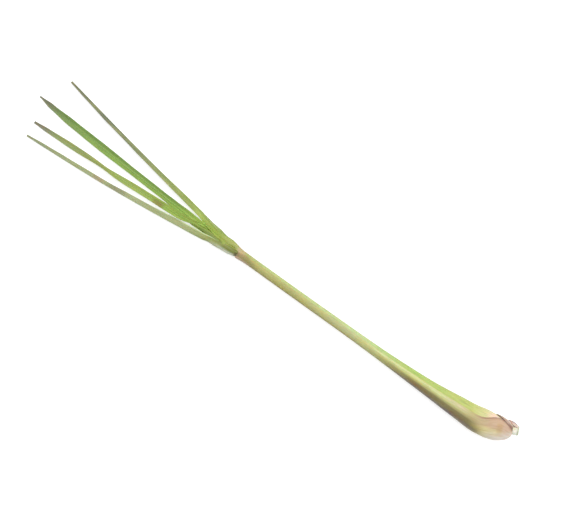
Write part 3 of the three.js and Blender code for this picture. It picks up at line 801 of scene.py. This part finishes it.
# The third leaf: the broad blade, bright green and turned to show its upper face.
thirdLeaf = {
    "layer": 3, "midrib": 180, "wrap": 155, "footWrap": (70, 125), "opening": 6, "settling": 26,
    "collar": 280, "offCentre": 0.6, "thickest": 1.2, "columns": 60, "edgeTaper": 0.8,
    "sheathRings": [(14.2, 0), (30, 8), (262, 36), (276, 9)], "bladeRings": 136,
    "swell": through((272, 0), (281, 1.0)),
    "path": [
        (256, -11.7, 6.6), (264, -12.2, 6.0), (271, -12.7, 5.2), (285.6, -14.5, 4.0), (304.8, -16.6, 3.5),
        (343.2, -20.4, 3.3), (381.6, -24.4, 2.4), (410.4, -27.8, 1.6), (429.6, -30.7, 0.9),
    ],
    "roll": through((0, 235), (0.07, 264), (0.5, 272), (1, 268)),
    "halfWidth": through(
        (0, 3.6), (0.07, 4.3), (0.16, 4.0), (0.25, 3.2), (0.32, 3.0), (0.45, 3.1), (0.65, 3.6),
        (0.82, 3.3), (0.93, 2.3), (1, 0.7),
    ),
    "open": through((0, 62), (0.06, 76), (1, 72)),
    "keel": through((0, 0.8), (0.3, 0.12)),
    "ridges": 18, "ridgeHeight": 0.03, "ridgesOnBlade": 9, "ridgeOnBlade": 0.03, "wave": 0.3,
    "look": {
        "along": [
            (14, "#dcdcae"), (240, "#c9cf8e"), (272, "#8b9042"), (284, "#959e46"), (292, "#a4b652"),
            (306, "#a6c25a"), (335, "#82a242"), (420, "#7c9a4b"), (450, "#748a52"), (462, "#74745c"),
            (475, "#7d7a6a"),
        ],
        "veins": 64, "ripe": 0.3, "ripeColour": "#93b24c", "roughness": (0.4, 0.6),
        "fibreDark": "#8fae6c", "fibreShare": 0.5,
        "marks": [
            # painted shade along the upper arm of the fold, which turns away from the light
            mark("#6f8f4e", 0.6, 0.7, station=(308, 336, 440, 460), across=(None, None, -0.65, -0.15)),
            mark("#b3cf8c", 0.6, 0.8, station=(312, 345, 440, 460), across=(-0.08, -0.02, 0.02, 0.08)),
            mark("#74765f", 0.85, 0.6, station=(446, 462, None, None), across=(None, None, 0.0, 0.6)),
        ],
    },
}

# The innermost leaf: rolled in the middle of the stalk, then a narrow blade that turns, dried at the tip.
innerLeaf = {
    "layer": 4, "midrib": 0, "wrap": 155, "footWrap": (178, 178), "opening": 6, "settling": 40,
    "collar": 279, "offCentre": 0, "thickest": 1.0, "columns": 56, "edgeTaper": 0.5,
    "sheathRings": [(17.2, 0), (30, 8), (262, 36), (276, 9)], "bladeRings": 136,
    "swell": through((272, 0), (281, 0.9), (292, 1.8), (316, 1.8)),
    "path": [
        (256, -10.3, 6.6), (266, -10.1, 6.9), (284, -9.7, 7.6), (304.8, -9.8, 6.8), (324, -9.7, 5.6),
        (347, -9.3, 4.2), (372, -10.2, 3.0), (422.4, -10.9, 0.9),
    ],
    "roll": through((0, -40), (0.08, -80), (0.47, -86), (0.62, -35), (0.79, -80), (1, -90)),
    "halfWidth": through(
        (0, 1.6), (0.12, 2.7), (0.25, 3.0), (0.5, 2.8), (0.8, 2.5), (0.93, 1.9), (1, 1.1),
    ),
    "open": through((0, 60), (0.3, 68), (1, 70)),
    "keel": through((0, 0.8), (0.3, 0.12)),
    "ridges": 14, "ridgeHeight": 0.02, "ridgesOnBlade": 8, "ridgeOnBlade": 0.03, "wave": 0.25,
    "look": {
        "along": [
            (17, "#e2dfb8"), (240, "#d0d69a"), (285, "#7d8f40"), (312, "#86a146"), (330, "#8daa48"),
            (372, "#96aa5a"), (400, "#8b9e54"), (440, "#88a06a"), (458, "#80866e"), (468, "#7c7868"),
        ],
        "veins": 52, "ripe": 0.4, "ripeColour": "#b4bd5c", "roughness": (0.4, 0.6),
        "fibreDark": "#9cb070", "fibreShare": 0.5,
        "marks": [
            # a painted shadow line where the third leaf's blade lies against this one
            mark("#5f7130", 0.6, 0.7, station=(284, 290, 300, 312), across=(0.32, 0.42, 0.6, 0.7)),
            mark("#806738", 0.7, 0.4, station=(336, 340.5, 344.5, 350), across=(-0.75, -0.2, None, None)),
            mark("#8d8650", 0.4, 0.3, True, station=(380, 400, 440, 460)),
            mark("#7b7969", 0.85, 0.5, station=(438, 456, None, None)),
        ],
    },
}

# What is left of an older leaf, torn off close to the culm: part of a cuff that flares towards the bulb.
tornStub = {
    "columns": 64, "thickest": 0.7, "endThins": 0.4, "rings": [(1.0, 0), (9.4, 30)],
    "middle": 178, "half": 54, "narrows": 0.35,
    "reach": through((1.0, 3.9), (2.2, 5.0), (4.0, 6.0), (6.5, 6.8), (9.4, 7.1)),
    "curl": 0.35, "curlTurn": 150, "hollow": 1.6,
    "tears": [(2, -0.9, 4.0, 2.0), (3, 0.4, 15.0, 5.0)],  # power along the cuff, depth, pace and seed
    "edgeShare": 0.1,
    "look": {
        "along": [(1.0, "#dccab8"), (4, "#d8bfae"), (7.5, "#cbada2"), (9.4, "#a98a88")],
        "veins": 60, "ripe": 0.3, "ripeColour": "#e2cfc0", "roughness": (0.5, 0.7),
        "fibreDark": "#b89c90", "fibreShare": 0.5,
        "marks": [
            mark("#7d6a78", 0.9, 0.7, station=(1.6, 2.4, 6.0, 7.6), turn=(150, 162, 176, 188)),
            mark("#b8957c", 0.8, 0.6, station=(6.4, 7.6, None, None)),
        ],
    },
}


def makeTornStub():
    leaf = tornStub
    start, end = leaf["rings"][0][0], leaf["rings"][-1][0]

    def ringAt(station):
        share = (station - start) / (end - start)
        thickness = leaf["thickest"] * lerp(1, leaf["endThins"], share)

        def point(across):
            turn = leaf["middle"] + across * leaf["half"] * (1 - leaf["narrows"] * share * share)
            curled = leaf["curl"] * math.cos(math.radians(across * leaf["curlTurn"])) * share
            ragged = station - share ** 2 * leaf["hollow"] * across * across
            for power, depth, pace, seed in leaf["tears"]:
                ragged += share ** power * depth * ripple(across * pace, seed)
            middle, _, level, upright = stalkLine.at(ragged)
            edge = min((1 - abs(across)) * leaf["half"] * leaf["edgeShare"], end - station)
            spot = middle + rayAt(level, upright, turn) * (leaf["reach"](ragged) + curled)
            return spot, thickness, turn, edge

        return point

    finishLeaf(layLeaf("tornStub", leaf, leaf["rings"], ringAt), leaf, "culm")


# The camera looks straight down. "zeroPixel" of its picture lies over "zeroPlace" of the drawing.
view = {
    "picture": (570, 530), "centre": (285, 265), "mmPerPixel": 0.8, "turn": 32.431,
    "zeroPixel": (238.0, 254.0), "zeroPlace": (228, -9.1), "plane": 5,
    "lens": 200, "sensor": 36, "clipEnd": 50,
}


def makeCamera():
    data = bpy.data.cameras.new("topCamera")
    data.lens, data.sensor_width = view["lens"], view["sensor"]
    camera = bpy.data.objects.new("topCamera", data)
    bpy.context.scene.collection.objects.link(camera)
    c, s = math.cos(math.radians(view["turn"])), math.sin(math.radians(view["turn"]))
    dx, dy = view["centre"][0] - view["zeroPixel"][0], view["centre"][1] - view["zeroPixel"][1]
    u, v = (dx * c + dy * s) * view["mmPerPixel"], (dy * c - dx * s) * view["mmPerPixel"]
    aim = drawn(view["zeroPlace"][0] - u, view["zeroPlace"][1] + v, view["plane"]) * mm
    width = view["picture"][0] * view["mmPerPixel"] * mm
    back = Vector((0, 0, 1))
    turn = Matrix((Vector((-c, -s, 0)), Vector((s, -c, 0)), back)).transposed()
    distance = width * view["lens"] / view["sensor"]
    camera.matrix_world = Matrix.Translation(aim + back * distance) @ turn.to_4x4()
    data.clip_end = view["clipEnd"]
    bpy.context.scene.camera = camera


table = {
    "size": 12.0,  # in metres
    "shader": {
        "Base Color": (0.6, 0.605, 0.61, 1), "Roughness": 0.9, "Specular IOR Level": 0.1,
        "Emission Color": (1, 1, 1, 1), "Emission Strength": 0.6,
    },
}
lamp = {"from": (-0.1, -0.5, 1.5), "strength": 3.0, "spread": 60}
air = {"Color": (0.97, 0.985, 1.0, 1), "Strength": 0.38}


def makeStudio():
    deselectAll()
    bpy.ops.mesh.primitive_plane_add(size=table["size"])
    floor = bpy.context.object
    floor.name = "paleTable"
    finish = Finish("paleTable")
    finish.set(table["shader"])
    floor.data.materials.append(finish.material)
    sun = bpy.data.lights.new("softKey", "SUN")
    sun.energy, sun.angle = lamp["strength"], math.radians(lamp["spread"])
    key = bpy.data.objects.new("softKey", sun)
    key.rotation_euler = Vector(lamp["from"]).to_track_quat("Z", "Y").to_euler()
    bpy.context.scene.collection.objects.link(key)
    world = bpy.data.worlds.new("whiteRoom")
    world.use_nodes = True
    for socket, given in air.items():
        world.node_tree.nodes["Background"].inputs[socket].default_value = given
    bpy.context.scene.world = world
    bpy.context.scene.view_settings.view_transform = "Standard"


makeCamera()
makeStudio()
print("camera and studio ready")
makeCulm()
makeTornStub()
print("culm ready")
makeOuterSheath()
makeLeaf("firstLeaf", firstLeaf, "first_leaf")
makeLeaf("secondLeaf", secondLeaf, "second_leaf")
makeLeaf("thirdLeaf", thirdLeaf, "third_leaf")
makeLeaf("innerLeaf", innerLeaf, "inner_leaf")
print("leaves ready")
deselectAll()
